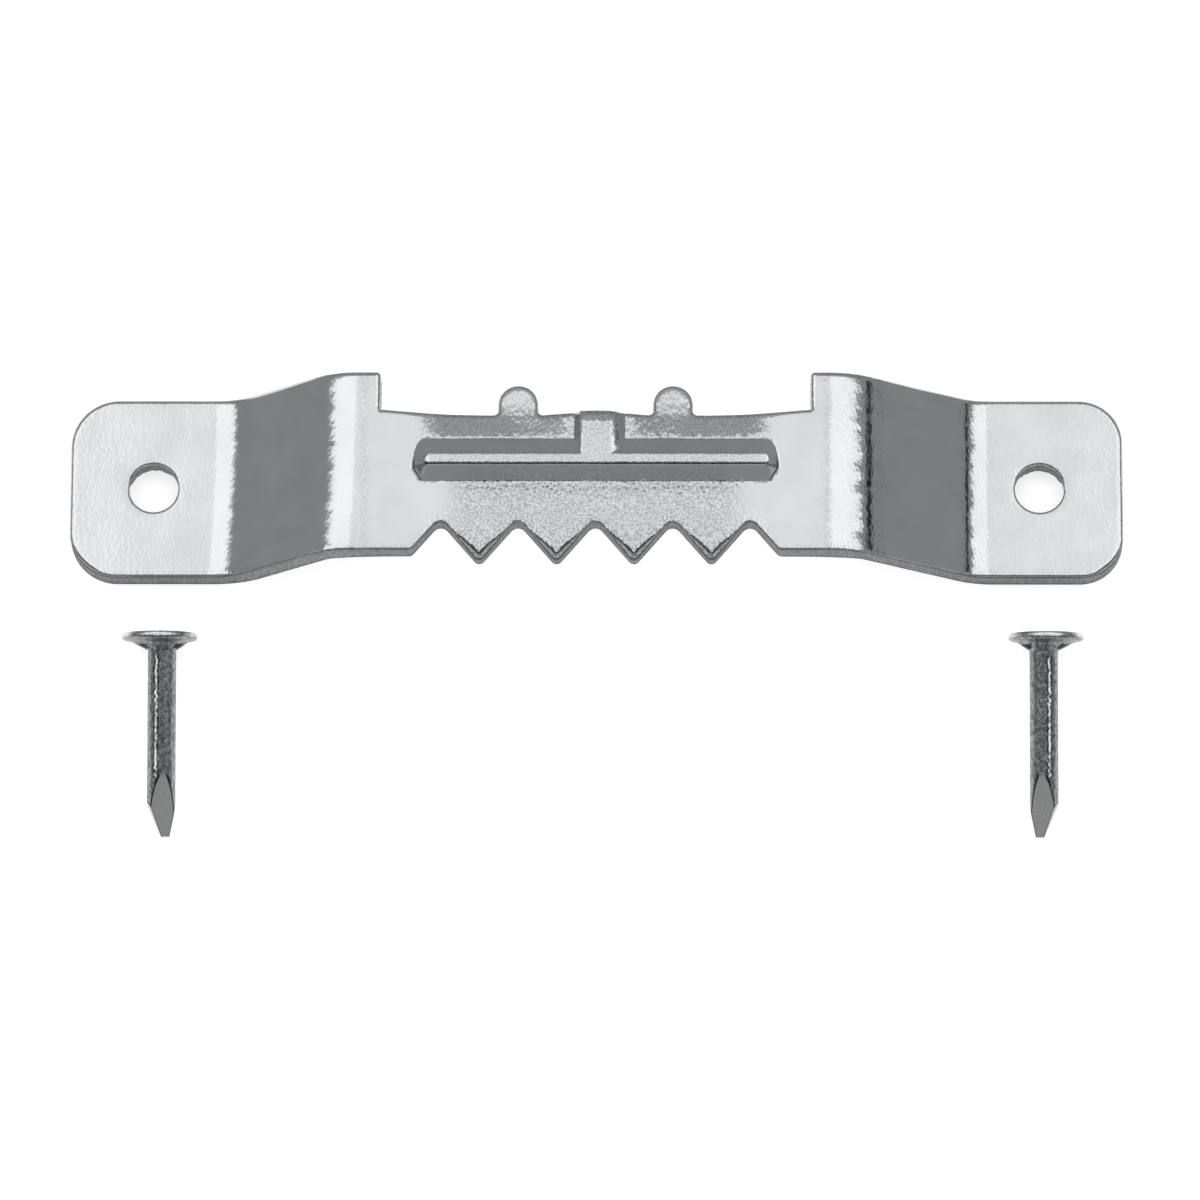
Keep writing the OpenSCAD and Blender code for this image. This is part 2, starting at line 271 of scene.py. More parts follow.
def soft_ramp(t, w):
    """0 below 0 and t above it, rounded over w on either side."""
    return np.where(t < -w, 0, np.where(t > w, t, (t + w) ** 2 / (4 * w)))


def waves(points, size, seed):
    """Smooth noise of about one unit either way, with waves of the given size in millimetres."""
    return np.array([noise.noise(Vector((p[0] / size, p[1] / size, seed))) for p in points])


def outward(loop):
    """Outward directions at the corners of a closed line that runs anticlockwise."""
    step = np.roll(loop, -1, 0) - np.roll(loop, 1, 0)
    normal = np.stack([step[:, 1], -step[:, 0]], 1)
    return normal / np.linalg.norm(normal, axis=1)[:, None]


def edge_distance(points, loop):
    """Distance of each point to a closed line, above zero inside it, and its nearest corner."""
    tree = KDTree(len(loop))
    for i, (x, y) in enumerate(loop):
        tree.insert((x, y, 0), i)
    tree.balance()
    near = np.array([tree.find((x, y, 0))[1] for x, y in points], int)
    gaps = []
    for shift in (-1, 0):
        a = loop[(near + shift) % len(loop)]
        d = loop[(near + shift + 1) % len(loop)] - a
        t = np.clip(((points - a) * d).sum(1) / (d ** 2).sum(1), 0, 1)
        gaps.append(np.linalg.norm(points - a - t[:, None] * d, axis=1))
    out = ((points - loop[near]) * outward(loop)[near]).sum(1)
    return np.where(out < 0, 1, -1) * np.minimum(*gaps), near


def inside(points, loop):
    """Whether each point lies inside a closed line."""
    return edge_distance(points, loop)[0] > 0


def rib_plan(half_len, half_w, step=0.15):
    """Closed line round the rib at one height, anticlockwise."""
    share = half_w / RIB_HALF
    nose_y = -NOSE_SHARE * half_w
    t = np.radians(np.linspace(0, 90, 14))
    upper = np.stack([half_len - RIB_ROUND * share * (1 - np.cos(t)),
                      nose_y + (half_w - nose_y) * np.sin(t)], 1)
    right = np.concatenate([[[half_len - RIB_SLANT * share, -half_w]], upper])
    return refined(np.concatenate([right, flipped(right)]), step)


def blended(a, b, k):
    """The greater of two heights, filled in by up to k / 4 where both are part of the way up."""
    low = np.clip(np.minimum(a, b) / RIB_H, 0, 1)
    high = np.maximum(a, b)
    near = np.clip(1 - np.abs(a - b) / RIB_H, 0, 1)
    return high + k * near * near * low * np.clip(1 - high / RIB_H, 0, 1)


def relief(points, foot, crest, height, stem_foot, stem_sides, rounds, line=0):
    """Height of the rib and its stem at each point, with rounded feet and crests, and a fine line
    along the foot."""
    foot_w, crest_w = rounds
    outer = edge_distance(points, foot)[0]
    inner = edge_distance(points, crest)[0] + 0.3 * line * waves(points, 0.35, 3.9)
    t = np.where(outer < 0, outer / PROFILE_RUN,
                 np.where(inner > 0, 1 + inner / PROFILE_RUN, outer / (outer - inner + 1e-9)))
    crest_w = crest_w * (1 + 0.8 * smooth_step(0.1, -0.1, points[:, 1]))
    rib = height * (soft_ramp(t, foot_w) - soft_ramp(t - 1, crest_w))
    across = points[:, 0] - STEM_X
    width = np.where(across < 0, stem_sides[-1], stem_sides[1])
    away = stem_foot - np.abs(across)
    side = away / width
    stem = RIB_H * (soft_ramp(side, foot_w * 1.5) - soft_ramp(side - 1, 0.25 + 0.2 * (across > 0)))
    above = points[:, 1] > CREST_SHIFT[1]
    within = np.maximum(outer, np.where(above, away, -1)) + 0.018 * waves(points, 0.3, 11.3)
    beads = np.clip(0.8 + 1.1 * waves(points, 0.16, 5.5), 0.1, 1.7)
    deeper = 1 + 0.6 * smooth_step(0, -0.3, points[:, 1])
    pressed = line * beads * deeper * np.exp(-(within / FOOT_LINE_W) ** 2)
    return blended(rib, stem * above, STEM_BLEND * smooth_step(0.15, 0.6, points[:, 1])) - pressed


# Lines round the rib's foot and crest in front, and round the matching groove behind
RIB_FOOT = rib_plan(RIB_X, RIB_HALF)
RIB_CREST = rib_plan(RIB_X - RIB_END_SLOPE, CREST_HALF) + CREST_SHIFT
RIB_SHIFT = SHEET_T * math.tan(math.atan(RIB_H / (RIB_HALF - CREST_HALF)) / 2)
GROOVE_HALF = RIB_HALF - RIB_SHIFT
GROOVE_CREST = GROOVE_HALF * 0.2
GROOVE_H = (GROOVE_HALF - GROOVE_CREST) * RIB_H / (RIB_HALF - CREST_HALF)
GROOVE_FOOT = rib_plan(RIB_X - RIB_SHIFT, GROOVE_HALF)
GROOVE_TOP = rib_plan(RIB_X - RIB_SHIFT - RIB_END_SLOPE, GROOVE_CREST)
GROOVE_STEM = 0.68
GROOVE_SIDES = {-1: 0.3, 1: 0.4}


def edge_roll(gap, edge):
    """How far the front face has rolled down at each point, near the edges that the punch sheared.
    Also the distance to the edge as a share of the roll's radius."""
    side = np.abs(edge[:, 0])
    tab = smooth_step(13.5, 15.5, side)
    cut = smooth_step(9.3, 8.9, side) * smooth_step(1, 1.6, edge[:, 1])
    teeth = smooth_step(9, 8, side) * smooth_step(-1, -2, edge[:, 1])
    tips = teeth * smooth_step(-3, -4.15, edge[:, 1]) * smooth_step(7, 6.5, side)
    lower = smooth_step(-3.6, -3.9, edge[:, 1]) * (1 - teeth)
    reach = 0.25 - 0.1 * teeth + 0.15 * tips - 0.05 * lower
    drop = 0.026 - 0.018 * teeth + 0.05 * tips - 0.014 * lower
    nose = 0.22 - 0.07 * tab - 0.17 * teeth + 0.2 * tips - 0.06 * cut - lower * (0.17 - 0.11 * tab)
    t = np.clip(1 - gap / reach, 0, 1)
    s = np.clip(1 - gap / nose, 0, 1)
    return drop * t * t + nose * (1 - np.sqrt(1 - s * s)), gap / nose


def bridge_fall(points):
    """How far the sheet has fallen away from the rib, above it and below it."""
    x, y = points.T
    side = np.abs(x)
    beside = np.abs(x - STEM_X) - STEM_FOOT
    lean = 0.35 + 0.4 * smooth_step(0, 0.75, beside) + 0.25 * smooth_step(3, 4.4, side)
    edge = EDGE_Y - 1.97
    upper = LEAN * soft_ramp(np.minimum(y, edge) - RIB_HALF - 0.05, 0.05) * lean \
        + LUG_LEAN * np.clip(y - edge, 0, None)
    low = np.clip(-y - RIB_HALF, 0, None)
    lower = BELLY * low + BELLY_NEAR * BELLY_REACH * (1 - np.exp(-low / BELLY_REACH))
    droop = STEM_DROOP * np.clip(y - CUT_Y + 0.5, 0, None) ** 2 * smooth_step(0.1, -0.3, beside)
    return upper * smooth_step(8.6, 6, side) + lower * smooth_step(7.8, 5.6, side) + droop


def bend_skew(points):
    """The left leg's bends run a little askew across the plate, and all bends waver."""
    x, y = points.T
    across = y / EDGE_Y
    askew = (0.08 * across ** 2 - 0.12 * across) * smooth_step(-9, -10.5, x)
    waver = waves(points * [0.3, 1], 0.5, 6.6) * smooth_step(9, 10.5, np.abs(x))
    waver *= np.where(x > 0, 0.02, 0.011)
    return np.column_stack([x + askew + waver, y])


def front_height(points, loop):
    """Height of the front face at each point, its distance to the edge, and how much painted shade
    its edges that face -Y get, in the colour of the walls.
    """
    gap, near = edge_distance(points, loop)
    gap = np.abs(gap)
    z = strip_height(bend_skew(points), FRONT_BENDS, SHEET_T)
    z += relief(points, RIB_FOOT, RIB_CREST, RIB_H, STEM_FOOT, STEM_SIDES, FRONT_ROUNDS, FOOT_LINE)
    roll, share = edge_roll(gap, loop[near])
    z -= roll + bridge_fall(points)
    for x in (-HOLE_X, HOLE_X):
        away = np.hypot(points[:, 0] - x, points[:, 1]) - HOLE_R
        s = np.clip(1 - away / HOLE_LIP, 0, 1)
        dish = HOLE_DISH * np.clip(1 - away / HOLE_DISH_W, 0, 1) ** 2
        z -= HOLE_LIP * (1 - np.sqrt(1 - s * s)) + dish
    z += 0.005 * waves(points, 2.3, 1.7) + 0.0018 * waves(points, 0.55, 8.1)
    # Painted shade: where an edge faces -Y, the steep outer part of its rolled nose takes the dark
    # colour of the walls
    torn_and_shade = smooth_step(0.2, -0.4, outward(loop)[near][:, 1]) * smooth_step(0.24, 0.1, share)
    return z, gap, torn_and_shade


def painted_crease_shade(points):
    """How much painted shade each point gets in the dark line round the lower corners of the rib's
    ends.
    """
    x, y = points.T
    side = np.abs(x)
    waver = 0.012 * waves(points, 0.2, 4.8)
    foot = np.exp(-((edge_distance(points, RIB_FOOT)[0] - 0.03 + waver) / 0.045) ** 2)
    foot *= smooth_step(RIB_X - 0.42, RIB_X - 0.34, side) * smooth_step(0.2, -0.15, y)
    nose = CREST_SHIFT[1] - CREST_HALF - 0.04
    corner = np.exp(-((y - nose + waver) / 0.05) ** 2)
    corner *= smooth_step(RIB_X - 0.62, RIB_X - 0.4, side) * smooth_step(RIB_X, RIB_X - 0.05, side)
    return np.maximum(foot, corner)


def grain_strength(points, gap):
    """How strongly the fine grain shows: little on the tabs, more at the right bends and round the
    rib, and almost none on the legs."""
    x, y = points.T
    side = np.abs(x)
    strength = PLAIN_GRAIN + EDGE_GRAIN * np.exp(-gap / EDGE_REACH)
    strength += BELLY_GRAIN * smooth_step(6.9, 5.2, side) * smooth_step(0.2, -1, y)
    strip = smooth_step(8, 6.4, side) * smooth_step(-1, 0.2, y)
    strength += STRIP_GRAIN * strip * smooth_step(2.6, 1.8, y)
    for place, width in BEND_ZONES:
        strength += np.where(x < 0, *BEND_GRAINS) * np.exp(-((side - place) / width) ** 2)
    strength += LINE_GRAIN * np.exp(-((side - LINE_X) / LINE_W) ** 2)
    slope = smooth_step(0.15, 0.3, np.abs(y)) * smooth_step(RIB_HALF, RIB_HALF - 0.1, np.abs(y))
    slope *= np.maximum(smooth_step(STEM_FOOT - 0.3, STEM_FOOT, np.abs(x - STEM_X)), y < 0)
    strength += SLOPE_GRAIN * slope * smooth_step(RIB_X, RIB_X - 0.3, side)
    leg = smooth_step(1.75, 1.3, np.abs(x - np.where(x < 0, *LEG_MIDDLES)))
    return strength * (1 - (1 - LEG_GRAIN_SHARE) * leg)


def back_height(points):
    """Height of the back face at each point."""
    z = strip_height(points, BACK_BENDS, 0)
    groove = relief(points, GROOVE_FOOT, GROOVE_TOP, GROOVE_H, GROOVE_STEM, GROOVE_SIDES,
                    BACK_ROUNDS)
    on_bridge = 1 - smooth_step(BOW_X, BOW_X + 1, np.abs(points[:, 0]))
    bumps = 0.5 + 0.5 * waves(points, 1.9, 4.4)
    return z + groove * on_bridge + 0.006 * bumps


# ---- Plate mesh ----

def inward_rings(loop, distances, outer):
    """Points at set distances inside a closed line, or outside it for a hole."""
    sign = -1 if outer else 1
    return [loop + sign * d * outward(loop) for d in distances]


def joined(kept, candidates, spacing):
    """The points already kept, and the candidates that lie farther than the spacing from them."""
    tree = KDTree(len(kept))
    for i, (x, y) in enumerate(kept):
        tree.insert((x, y, 0), i)
    tree.balance()
    free = [(x, y) for x, y in candidates if tree.find((x, y, 0))[2] > spacing]
    return np.concatenate([kept, np.array(free).reshape(-1, 2)])


def hex_grid(spacing):
    """An even grid over the whole plate, with every other row shifted by half a step."""
    row = spacing * math.sqrt(3) / 2
    ys = np.arange(-EDGE_Y - 0.5, EDGE_Y + 0.5, row)
    xs = np.arange(-END_X, END_X, spacing)
    return np.concatenate([np.stack([xs + (i % 2) * spacing / 2, np.full(len(xs), y)], 1)
                           for i, y in enumerate(ys)])


def face_points(loops, rings, fill, fine_zone, lines=()):
    """Points for one face of the plate: its loops, rings beside them, lines, and an even fill that
    is finer in one zone."""
    fine, coarse = fill
    outline, holes = loops[0], loops[1:]
    kept = np.concatenate(loops)
    for loop, outer in [(outline, True)] + [(h, False) for h in holes]:
        last = 0
        for d, ring in zip(rings, inward_rings(loop, rings, outer)):
            ring = ring[np.abs(edge_distance(ring, loop)[0]) > 0.97 * d]
            kept = joined(kept, ring[inside(ring, outline)], (d - last) * 0.6)
            last = d
    for line in lines:
        kept = joined(kept, line[inside(line, outline)], LINE_GAP)
    for spacing, zone in ((fine, True), (coarse, False)):
        grid = hex_grid(spacing)
        grid = grid[fine_zone(grid)] if zone else grid
        grid = grid[inside(grid, outline)]
        for hole in holes:
            grid = grid[~inside(grid, hole)]
        kept = joined(kept, grid, spacing * 0.7)
    return kept


def feature_lines():
    """Close rows of points along the foot and the crest of the rib and of its stem."""
    lines = [rib_plan(RIB_X + d, RIB_HALF + d, 0.055)
             for d in (0.1, 0.07, 0.045, 0.02, 0, -0.02, -0.045, -0.075)]
    lines += [rib_plan(RIB_X - RIB_END_SLOPE + d, CREST_HALF + d, 0.07) + CREST_SHIFT
              for d in (0.12, 0.08, 0.04, 0, -0.04, -0.08, -0.12)]
    ys = np.arange(-0.2, EDGE_Y, 0.07)
    for side, width in STEM_SIDES.items():
        crest = [width * share for share in (0.5, 0.7, 0.85, 1, 1.15, 1.3)]
        for away in (-0.07, -0.04, 0, 0.04, 0.08, *crest):
            xs = np.full(len(ys), STEM_X + side * (STEM_FOOT - away))
            lines.append(np.column_stack([xs, ys]))
    return lines


def triangles(points, loops):
    """Triangles of one face that lie inside the outline and outside the holes."""
    edges = []
    start = 0
    for loop in loops:
        n = len(loop)
        edges += [(start + i, start + (i + 1) % n) for i in range(n)]
        start += n
    found = delaunay_2d_cdt([Vector(p) for p in points], edges, [], 0, 1e-7)
    origin = [o[0] if o else -1 for o in found[3]]
    tris = np.array([[origin[v] for v in f] for f in found[2]])
    on_loops = (tris < start).all(1)
    middle = points[tris].mean(1)
    keep = np.ones(len(tris), bool)
    asked = np.flatnonzero(on_loops)
    good = inside(middle[asked], loops[0])
    for hole in loops[1:]:
        good &= ~inside(middle[asked], hole)
    keep[asked] = good
    tris = tris[keep]
    a, b, c = (points[tris[:, k]] for k in range(3))
    ab, ac = b - a, c - a
    turn = ab[:, 0] * ac[:, 1] - ab[:, 1] * ac[:, 0]
    tris[turn < 0] = tris[turn < 0][:, ::-1]
    return tris


def circle(x, r):
    """Line round a nail hole, with its middle at the given X."""
    turns = np.arange(HOLE_STEPS) * 2 * math.pi / HOLE_STEPS
    return np.stack([x + r * np.cos(turns), r * np.sin(turns)], 1)


def ragged_circle(x, r, wild, seed):
    """The same with a ragged edge."""
    c = circle(0, 1)
    reach = r + wild * waves(c, 0.22, seed) + wild * 0.6 * waves(c, 0.09, seed + 3)
    return np.stack([x + reach * c[:, 0], reach * c[:, 1]], 1)


def wall_rows(top, bottom, top_z, bottom_z, pulls, seed):
    """Rows of points down a sheared wall, between its edges at the front and at the back."""
    normal = outward(top)
    rows = []
    for k, (share, pull) in enumerate(zip(WALL_SHARES, pulls)):
        plan = top + (bottom - top) * smooth_step(0.25, 1, share)
        tear = smooth_step(0.14, 0.35, share)
        rough = tear * TEAR_H * waves(top, 0.16, seed + 2.3 * k)
        plan = plan - normal * (pull + np.abs(rough))[:, None]
        rows.append(np.column_stack([plan, top_z + (bottom_z - top_z) * share]))
    return rows


def front_zone(points):
    """Where the front is finely meshed: on the rib, its stem and the bends."""
    x, y = np.abs(points).T
    rib = (x < RIB_X + 0.25) & (y < RIB_HALF + 0.15)
    stem = (np.abs(points[:, 0] - STEM_X) < STEM_FOOT + 0.3) & (points[:, 1] > 0)
    bend = ((x > 9.7) & (x < 12.4)) | ((x > 14.6) & (x < 17.4))
    return rib | stem | bend


def back_zone(points):
    """Where the back is finely meshed: in the groove and at the bridge's bends."""
    x, y = np.abs(points).T
    groove = (x < RIB_X) & (y < GROOVE_HALF + 0.2)
    stem = (np.abs(points[:, 0] - STEM_X) < STEM_FOOT) & (points[:, 1] > 0)
    return groove | stem | (np.abs(x - BRIDGE_X) < 0.5)


def build_plate():
    outline = plate_outline()
    front_loops = [outline, circle(-HOLE_X, HOLE_R), circle(HOLE_X, HOLE_R)]
    back_loops = [outline, ragged_circle(-HOLE_X, BACK_HOLE_R, BACK_HOLE_WILD, 2.2),
                  ragged_circle(HOLE_X, BACK_HOLE_R, BACK_HOLE_WILD, 9.7)]
    front = face_points(front_loops, FRONT_RINGS, FRONT_FILL, front_zone, feature_lines())
    back = face_points(back_loops, BACK_RINGS, BACK_FILL, back_zone)
    front_tris = triangles(front, front_loops)
    back_tris = triangles(back, back_loops)
    front_z, gap, torn_and_shade = front_height(front, outline)
    back_z = back_height(back)
    gap = np.minimum(gap, np.hypot(np.abs(front[:, 0]) - HOLE_X, front[:, 1]) - HOLE_R)
    # The strip beside each edge, for stronger grain and for painted shade where the front takes the
    # walls' colour
    edge = np.exp(-gap / EDGE_REACH)
    # Painted shade in the creases round the lower corners of the rib's ends: those points take the
    # walls' colour, darkened to the shade colour
    dark = painted_crease_shade(front)
    torn_and_shade, edge = np.maximum(torn_and_shade, dark), np.maximum(edge, dark)

    verts = [np.column_stack([front, front_z]), np.column_stack([back, back_z])]
    # The walls have the wall colour as their own, and the front takes it only where painted shade
    # is put
    cut = [torn_and_shade, np.zeros(len(back))]
    near = [edge, np.zeros(len(back))]
    grains = [grain_strength(front, gap), np.full(len(back), BACK_GRAIN)]
    faces = [tuple(t) for t in front_tris]
    base = len(front)
    faces += [tuple(base + t[::-1]) for t in back_tris]
    count = len(front) + len(back)

    # The cut walls of the outline and of the holes. Walls get painted shade at their upper and
    # lower edges
    start = 0
    for k, (f_loop, b_loop) in enumerate(zip(front_loops, back_loops)):
        n = len(f_loop)
        part = np.arange(start, start + n)
        pulls = WALL_PULLS if k == 0 else [0] * len(WALL_PULLS)
        rows = wall_rows(f_loop, b_loop, front_z[part], back_z[part], pulls, 3.1 * k)
        indices = [part]
        for row, share in zip(rows, WALL_SHARES):
            verts.append(row)
            cut.append(np.full(n, min(1, 0.6 + share * 3)))
            # Painted shade along the top and the foot of each wall
            rim = math.exp(-(share / 0.15) ** 2) + math.exp(-((1 - share) / 0.08) ** 2)
            near.append(np.full(n, rim))
            grains.append(np.ones(n))
            indices.append(np.arange(count, count + n))
            count += n
        indices.append(base + part)
        for upper, lower in zip(indices, indices[1:]):
            a, b = upper, np.roll(upper, -1)
            c, d = np.roll(lower, -1), lower
            quads = np.stack([a, d, c, b], 1) if k == 0 else np.stack([a, b, c, d], 1)
            faces += [tuple(q) for q in quads]
        start += n

    return finished_mesh("zinc_sawtooth_plate", np.concatenate(verts), faces,
                         {"cut": np.concatenate(cut), "edge": np.concatenate(near),
                          "grain": np.concatenate(grains)}, 50)


def finished_mesh(name, verts, faces, layers, sharp):
    """A smooth-shaded object in metres, with named values at its points."""
    mesh = bpy.data.meshes.new(name)
    mesh.from_pydata((verts * MM).tolist(), [], [[int(i) for i in f] for f in faces])
    mesh.validate()
    mesh.polygons.foreach_set("use_smooth", [True] * len(mesh.polygons))
    mesh.set_sharp_from_angle(angle=math.radians(sharp))
    for key, values in layers.items():
        layer = mesh.attributes.new(key, "FLOAT", "POINT")
        layer.data.foreach_set("value", np.asarray(values, np.float32))
    mesh.update()
    obj = bpy.data.objects.new(name, mesh)
    bpy.context.scene.collection.objects.link(obj)
    return obj


# ---- Nails ----

# A nail stands on its point while it is built, and then lies down on its point and its rim. The
# head is a little off the shank's middle and turned
NAIL_LEN = 8.7
SHANK_R = 0.6
HEAD_R = 1.625
RIM_R = 0.17
RIM_X = HEAD_R - RIM_R
RIM_WOBBLE = 0.01
HEAD_OFF = 0.1
HEAD_TURN = math.tan(math.radians(2.5))
NECK_LEN = 0.38
UNDER_HEAD = NAIL_LEN - 2 * RIM_R
NECK_R = 1.3
CROWN_DISH = 0.03
CROWN_DROP = 0.004

# The four-sided point: its length, blunt tip and the facets' runs. A run is length along the nail
# for each unit of width
POINT_LEN = 2.7
TIP_T = 0.2
TIP_W = 0.34
TIP_OFF = 0.18
NEAR_SIDE = TIP_OFF + TIP_W / 2
FAR_SIDE = TIP_OFF - TIP_W / 2
BROAD_RUN = POINT_LEN / (SHANK_R - TIP_T / 2)
NEAR_LEN = 1.35
FAR_LEN = 1.5
NEAR_RUN = NEAR_LEN / (SHANK_R - NEAR_SIDE)
FAR_RUN = FAR_LEN / (SHANK_R + FAR_SIDE)
POINT_TURN = math.radians(10)
FACET_ROUND = 0.011
TIP_ROUND = 0.012
CREASE_W = 0.028
SEAM_TURN = math.radians(-21.5)
NAIL_STEPS = 168
RIM_ANGLES = (-87, -80, -70, -58, -45, -32, -20, -10, 0, 8, 16, 24, 32, 40, 48, 56, 64, 72, 80, 87,
              90)

# Where the nails lie: the gap to the plate, and the middle of each one
NAIL_GAP = 2.65
NAIL_XS = (-18.4, 19.0)

# The angle at which a nail lies, and the height and place of its tip, as in the part's source
CORNER_SUM = (BROAD_RUN * TIP_T / 2 - NEAR_RUN * NEAR_SIDE) / math.hypot(BROAD_RUN, NEAR_RUN)
CORNER_TURN = math.acos(CORNER_SUM / SHANK_R) - math.atan(NEAR_RUN / BROAD_RUN)
CORNER_Z = (SHANK_R * math.cos(CORNER_TURN) - TIP_T / 2) * BROAD_RUN
CORNER_LOW = SHANK_R * math.cos(CORNER_TURN - POINT_TURN)
RIM_SPAN = math.hypot(NAIL_LEN - RIM_R - CORNER_Z, RIM_X - CORNER_LOW)
LIE_ANGLE = math.asin((RIM_X - CORNER_LOW) / RIM_SPAN) + math.asin(RIM_R / RIM_SPAN)
TIP_LIFT = CORNER_LOW * math.cos(LIE_ANGLE) - CORNER_Z * math.sin(LIE_ANGLE)
TIP_BACK = EDGE_Y + NAIL_GAP + NAIL_LEN * math.cos(LIE_ANGLE)


def soft_min(values, k):
    """The least of several lengths, rounded off over k where two of them meet, and how close the
    two least of them are."""
    values = np.sort(np.array(values), axis=0)
    crease = np.exp(-((values[1] - values[0]) / CREASE_W) ** 2)
    return values[0] - k * np.log(np.exp(-(values - values[0]) / k).sum(0)), crease


def point_reach(turns, z, cx, k):
    """Distance from the ring's centre to the nearest of the facets and the shank, in each
    direction. Also how close the direction is to a crease, and whether it meets a facet."""
    c, s = np.cos(turns - POINT_TURN), np.sin(turns - POINT_TURN)
    far_off = 1e3
    near = np.where(c > 1e-3, (NEAR_SIDE + z / NEAR_RUN - cx) / np.maximum(c, 1e-3), far_off)
    far = np.where(c < -1e-3, (FAR_SIDE - z / FAR_RUN - cx) / np.minimum(c, -1e-3), far_off)
    broad = (TIP_T / 2 + z / BROAD_RUN) / np.maximum(np.abs(s), 1e-3)
    half = c * cx
    shank = -half + np.sqrt(half * half + SHANK_R ** 2 - cx * cx)
    reach, crease = soft_min([near, far, broad, shank], k)
    facet = smooth_step(-0.012, 0.004, shank - np.minimum(np.minimum(near, far), broad))
    return reach, crease * smooth_step(0.1, 0.4, np.abs(c)), facet


def nail_rings():
    """Rings of points from the tip to the head's top, with their finish: painted highlight and
    shade, facet, and how worn they are with painted sheen.
    """
    turns = np.arange(NAIL_STEPS) * 2 * math.pi / NAIL_STEPS
    top = -math.pi / 2 + SEAM_TURN
    none = np.zeros(NAIL_STEPS)
    rings, finish = [], []

    def add_ring(cx, cy, radius, z, highlight_and_shade=none, facet=none, wear_and_sheen=none, turn=0):
        y = cy + radius * np.sin(turns)
        rings.append(np.column_stack([cx + radius * np.cos(turns), y, z + turn * y]))
        finish.append(np.stack([highlight_and_shade + none, facet + none, wear_and_sheen + none]))

    tip_c = (TIP_OFF * math.cos(POINT_TURN), TIP_OFF * math.sin(POINT_TURN))
    blunt = point_reach(turns, 0, TIP_OFF, TIP_ROUND)[0]
    add_ring(*tip_c, blunt * 0.55, 0, facet=0.5)
    add_ring(*tip_c, blunt - 0.03, 0.002, facet=0.5)
    for z in np.concatenate([[0.012, 0.035], np.arange(0.07, POINT_LEN + 0.3, 0.034)]):
        cx = TIP_OFF * max(0, 1 - z / POINT_LEN) ** 1.2
        reach, crease, facet = point_reach(turns, z, cx, FACET_ROUND)
        bump, highlight_and_shade = shank_marks(turns, z, top)
        full = (1 - facet) * smooth_step(1.7, 2.1, z)
        # Painted shade along the creases between the point's facets
        crease = crease * smooth_step(POINT_LEN + 0.1, POINT_LEN - 0.1, z)
        add_ring(cx * math.cos(POINT_TURN), cx * math.sin(POINT_TURN), reach + bump * full, z,
                 highlight_and_shade * full * smooth_step(2.3, 2.7, z) - crease, facet * (1 - crease))
    for z in np.arange(POINT_LEN + 0.34, UNDER_HEAD - NECK_LEN - 0.06, 0.04):
        bump, highlight_and_shade = shank_marks(turns, z, top)
        add_ring(0, 0, SHANK_R + bump, z, highlight_and_shade * smooth_step(UNDER_HEAD - 0.5, UNDER_HEAD - 0.8, z))
    side = np.abs(np.cos(turns))
    fins = 0.14 + 0.86 * side ** 3
    for t in np.linspace(0, 1, 18):
        z = UNDER_HEAD - NECK_LEN - 0.02 + t * (NECK_LEN + 0.02)
        share = fins * t + (1 - fins) * t ** 8
        # Painted shadow under the head on the fins' sides, and a paler painted band where the fins
        # meet the head
        head_shadow = smooth_step(0.35, 0.7, fins) * smooth_step(0.02, 0.2, t) * smooth_step(0.75, 0.5, t)
        add_ring(-HEAD_OFF * t, 0, SHANK_R + (NECK_R - SHANK_R) * share, z,
                 -head_shadow, wear_and_sheen=0.35 * smooth_step(0.7, 0.95, t) * fins, turn=HEAD_TURN * t)
    wobble = RIM_WOBBLE * np.array([noise.noise(Vector((2 * math.cos(a), 2 * math.sin(a), 3.3)))
                                    for a in turns])
    for a in RIM_ANGLES:
        r = math.radians(a)
        # The rim's upper half is worn bright, with painted highlight and shade: brightest at its
        # top and its ends, darker between them
        wear_and_sheen = smooth_step(-25, 5, a) * (1 - 0.75 * np.exp(-((side - 0.55) / 0.2) ** 2)) \
            + 0.4 * smooth_step(0.8, 0.97, side)
        flat = 0.35 + 0.55 * side
        add_ring(-HEAD_OFF, 0, (RIM_X + RIM_R * math.cos(r) ** flat) * (1 + wobble) - 0.01,
                 UNDER_HEAD + RIM_R + RIM_R * math.sin(r) * 0.98, wear_and_sheen=np.clip(wear_and_sheen, 0, 1),
                 turn=HEAD_TURN)
    for share in (0.94, 0.86, 0.7, 0.5, 0.3, 0.12):
        dish = CROWN_DISH * (1 - share) ** 0.7
        add_ring(-HEAD_OFF, 0, RIM_X * share * (1 + wobble * share), NAIL_LEN - CROWN_DROP - dish,
                 wear_and_sheen=0.6, turn=HEAD_TURN)
    return rings, np.concatenate(finish, 1)


def shank_marks(turns, z, top):
    """Small height changes round the shank, and the painted highlight on the drawn ridge with
    painted shade in the troughs beside it.
    """
    wander = 0.05 * noise.noise(Vector((z / 0.4, 1.1, 0))) \
        + 0.11 * noise.noise(Vector((z / 0.15, 5.1, 0)))
    width = 1.1 + 0.8 * noise.noise(Vector((z / 0.2, 7.7, 0)))
    away = (turns - top - wander + math.pi) % (2 * math.pi) - math.pi
    ridge = np.exp(-(away * SHANK_R / (0.042 * width)) ** 2)
    trough = np.exp(-((np.abs(away) * SHANK_R - 0.1) / 0.035) ** 2)
    trough = trough * np.clip(0.75 + 1.5 * noise.noise(Vector((z / 0.22, 2.9, 0))), 0, 1.3)
    flank = 0.006 * noise.noise(Vector((z / 0.9, 3.7, 0)))
    bump = 0.016 * ridge - 0.016 * trough + flank
    bump = bump - 0.004 * (1 + np.cos(2 * (turns - top)))
    return bump, ridge - trough


